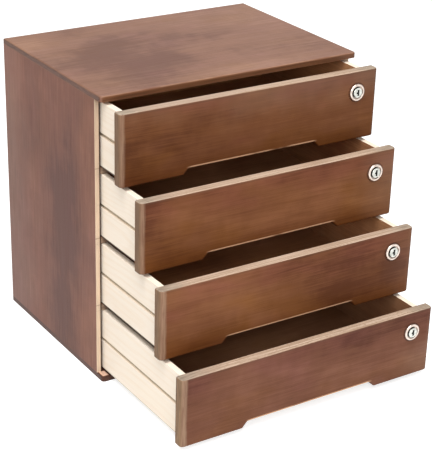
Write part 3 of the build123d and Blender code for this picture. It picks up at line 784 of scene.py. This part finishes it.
def lock_section():
    """Closed section of a lock housing as rows of (radius, depth), and a share of 1 where it is threaded.

    A bead with two rounded edges, a recess round the plug, the bore, and the barrel's outer wall.
    """
    bead = [
        arc((RING_R - RING_ROUND, -RING_T + RING_ROUND), RING_ROUND, 0, -90, 9),
        arc((MOUTH_R + MOUTH_ROUND, -RING_T + MOUTH_ROUND), MOUTH_ROUND, -90, -180, 6),
    ]
    floor = MOUTH_DEPTH - RING_T
    inside = [[(MOUTH_R, floor), (BORE_R, floor), (BORE_R, BARREL_END)]]
    steps = np.arange(BARREL_END - THREAD_LEAD, THREAD_START, -THREAD_PITCH / THREAD_STEPS)
    barrel = [
        [(BARREL_R - THREAD_DEPTH, BARREL_END)],
        np.stack([np.full_like(steps, BARREL_R), steps], 1),
        [(BARREL_R, 0.0), (RING_R, 0.0)],
    ]
    rows = np.concatenate(bead + inside + barrel)
    threaded = (rows[:, 1] > THREAD_START) & (rows[:, 0] == BARREL_R)
    return rows, threaded.astype(float)


def turned(name, rows, threaded, axis, face, count=ROUND_STEPS):
    """A closed section turned about an axis along Y. Angle t and row s give the place.

    x = axis_x + r cos t, z = axis_z + r sin t and y = face + depth, where a threaded row's radius r is cut
    back by a triangle wave of depth / pitch - t / 2 pi, which makes a helix.
    """
    turns = np.linspace(0, 2 * math.pi, count, endpoint=False)
    radius, depth = [np.repeat(part[:, None], count, 1) for part in rows.T]
    phase = (depth / THREAD_PITCH - turns / (2 * math.pi)) % 1.0
    radius = radius - threaded[:, None] * THREAD_DEPTH * np.abs(2 * phase - 1)
    x = axis[0] + radius * np.cos(turns)
    z = axis[1] + radius * np.sin(turns)
    vertices = np.stack([x, face + depth, z], -1).reshape(-1, 3) * MM
    s, t = np.meshgrid(np.arange(len(rows)), np.arange(count), indexing="ij")
    next_s, next_t = (s + 1) % len(rows), (t + 1) % count
    quads = np.stack([s * count + t, s * count + next_t, next_s * count + next_t, next_s * count + t], -1)
    mesh = bpy.data.meshes.new(name)
    mesh.from_pydata(vertices.tolist(), [], quads.reshape(-1, 4).tolist())
    mesh.polygons.foreach_set("use_smooth", [True] * len(mesh.polygons))
    mesh.set_sharp_from_angle(angle=math.radians(SMOOTH_ANGLE))
    piece = bpy.data.objects.new(name, mesh)
    bpy.context.scene.collection.objects.link(piece)
    return piece


def dress_locks():
    """Plated locks, with a turned housing in place of each plain one and painted shade in its recess."""
    nickel = nickel_finish("nickel", 60, NUT_PLATE)
    rows, threaded = lock_section()
    for n in DRAWERS:
        dress(f"lock_nut_{n}", nickel)
        dress(f"lock_cam_{n}", nickel)
        axis = lock_axis(n)
        behind = box_mm(f"lock_plug_{n}")[0].y + 0.05
        # The plug's plate is tinted greyer as painted reflection, with painted shade behind its face and in
        # the keyhole
        plug = nickel_finish(f"plug_{n}", 60 + n, PLUG_PLATE_WITH_REFLECTION, axis, WHOLE_PLUG, behind, slot=True)
        dress(f"lock_plug_{n}", plug)
        face = box_mm(f"drawer_front_{n}")[0].y
        ring = turned(f"lock_ring_{n}", rows, threaded, axis, face)
        behind = face - RING_T + 0.5
        # The ring's plate is tinted warmer as painted reflection, with painted shade in its recess
        plate = nickel_finish(f"ring_{n}", 65 + n, RING_PLATE_WITH_REFLECTION, axis, DEEP_R, behind, lit=0.85)
        ring.data.materials.append(plate)
        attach(ring, f"drawer_{n}")
        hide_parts(f"lock_housing_{n}")


def make_camera():
    """The camera at the photograph's angle: forward from yaw and pitch, then rolled about its own axis."""
    yaw, pitch, roll = [math.radians(angle) for angle in (CAMERA_YAW, CAMERA_PITCH, CAMERA_ROLL)]
    forward = Vector((math.sin(yaw) * math.cos(pitch), math.cos(yaw) * math.cos(pitch), math.sin(pitch)))
    level = Vector((math.cos(yaw), -math.sin(yaw), 0))
    upright = level.cross(forward)
    right = level * math.cos(roll) + upright * math.sin(roll)
    up = upright * math.cos(roll) - level * math.sin(roll)
    lens = bpy.data.cameras.new("camera")
    lens.sensor_fit = "VERTICAL"
    lens.sensor_height = SENSOR_H
    lens.lens = FOCAL_PX / FRAME_H * SENSOR_H
    lens.shift_x, lens.shift_y = LENS_SHIFT
    camera = bpy.data.objects.new("camera", lens)
    turn = Matrix((right, up, -forward)).transposed().to_4x4()
    camera.matrix_world = Matrix.Translation(CAMERA_PLACE) @ turn
    bpy.context.scene.collection.objects.link(camera)
    bpy.context.scene.camera = camera


def soft_lamp(name, place, size, power):
    """A square lamp that faces the object."""
    lamp = bpy.data.lights.new(name, "AREA")
    lamp.size = size
    lamp.energy = power
    holder = bpy.data.objects.new(name, lamp)
    holder.location = place
    holder.rotation_euler = (Vector(LIGHT_AIM) - Vector(place)).to_track_quat("-Z", "Y").to_euler()
    bpy.context.scene.collection.objects.link(holder)


def backdrop_rays(graph):
    """1 for the rays that show the backdrop: from the camera, from a reflection or through glass."""
    kinds = ("Camera", "Glossy", "Transmission")
    camera, glossy, through = [graph.add("ShaderNodeLightPath", output=f"Is {kind} Ray") for kind in kinds]
    return camera.most(glossy).most(through)


def make_world():
    """Even white light from all round, at full white where the backdrop shows."""
    world = bpy.data.worlds.new("studio")
    bpy.context.scene.world = world
    graph = Graph(world)
    strength = backdrop_rays(graph) * (1 - AMBIENT) + AMBIENT
    light = graph.add("ShaderNodeBackground", None, {"Color": even(1.0), "Strength": strength})
    graph.add("ShaderNodeOutputWorld", None, {"Surface": light})


def make_floor():
    """A pale round floor under the lamps, plus a share of plain white that keeps its shadow faint."""
    material = bpy.data.materials.new("floor")
    graph = Graph(material)
    paper = graph.add("ShaderNodeBsdfDiffuse", None, {"Color": even(FLOOR_WHITE)})
    glow = graph.add("ShaderNodeEmission", None, {"Strength": backdrop_rays(graph) * FLOOR_GLOW})
    both = graph.add("ShaderNodeAddShader", None, {0: paper, 1: glow})
    graph.add("ShaderNodeOutputMaterial", None, {"Surface": both})
    turns = np.linspace(0, 2 * math.pi, ROUND_STEPS, endpoint=False)
    rim = np.stack([FLOOR_R * np.cos(turns), FLOOR_R * np.sin(turns), np.full_like(turns, -FLOOR_SINK)], 1)
    mesh = bpy.data.meshes.new("floor")
    mesh.from_pydata(rim.tolist(), [], [list(range(len(rim)))])
    mesh.materials.append(material)
    floor = bpy.data.objects.new("floor", mesh)
    bpy.context.scene.collection.objects.link(floor)


dress_carcass()
for number in DRAWERS:
    dress_drawer(number)
dress_locks()
make_camera()
soft_lamp("key", KEY_PLACE, KEY_SIZE, KEY_POWER)
soft_lamp("front", FRONT_PLACE, FRONT_SIZE, FRONT_POWER)
make_world()
make_floor()
bpy.context.scene.view_settings.view_transform = "Standard"
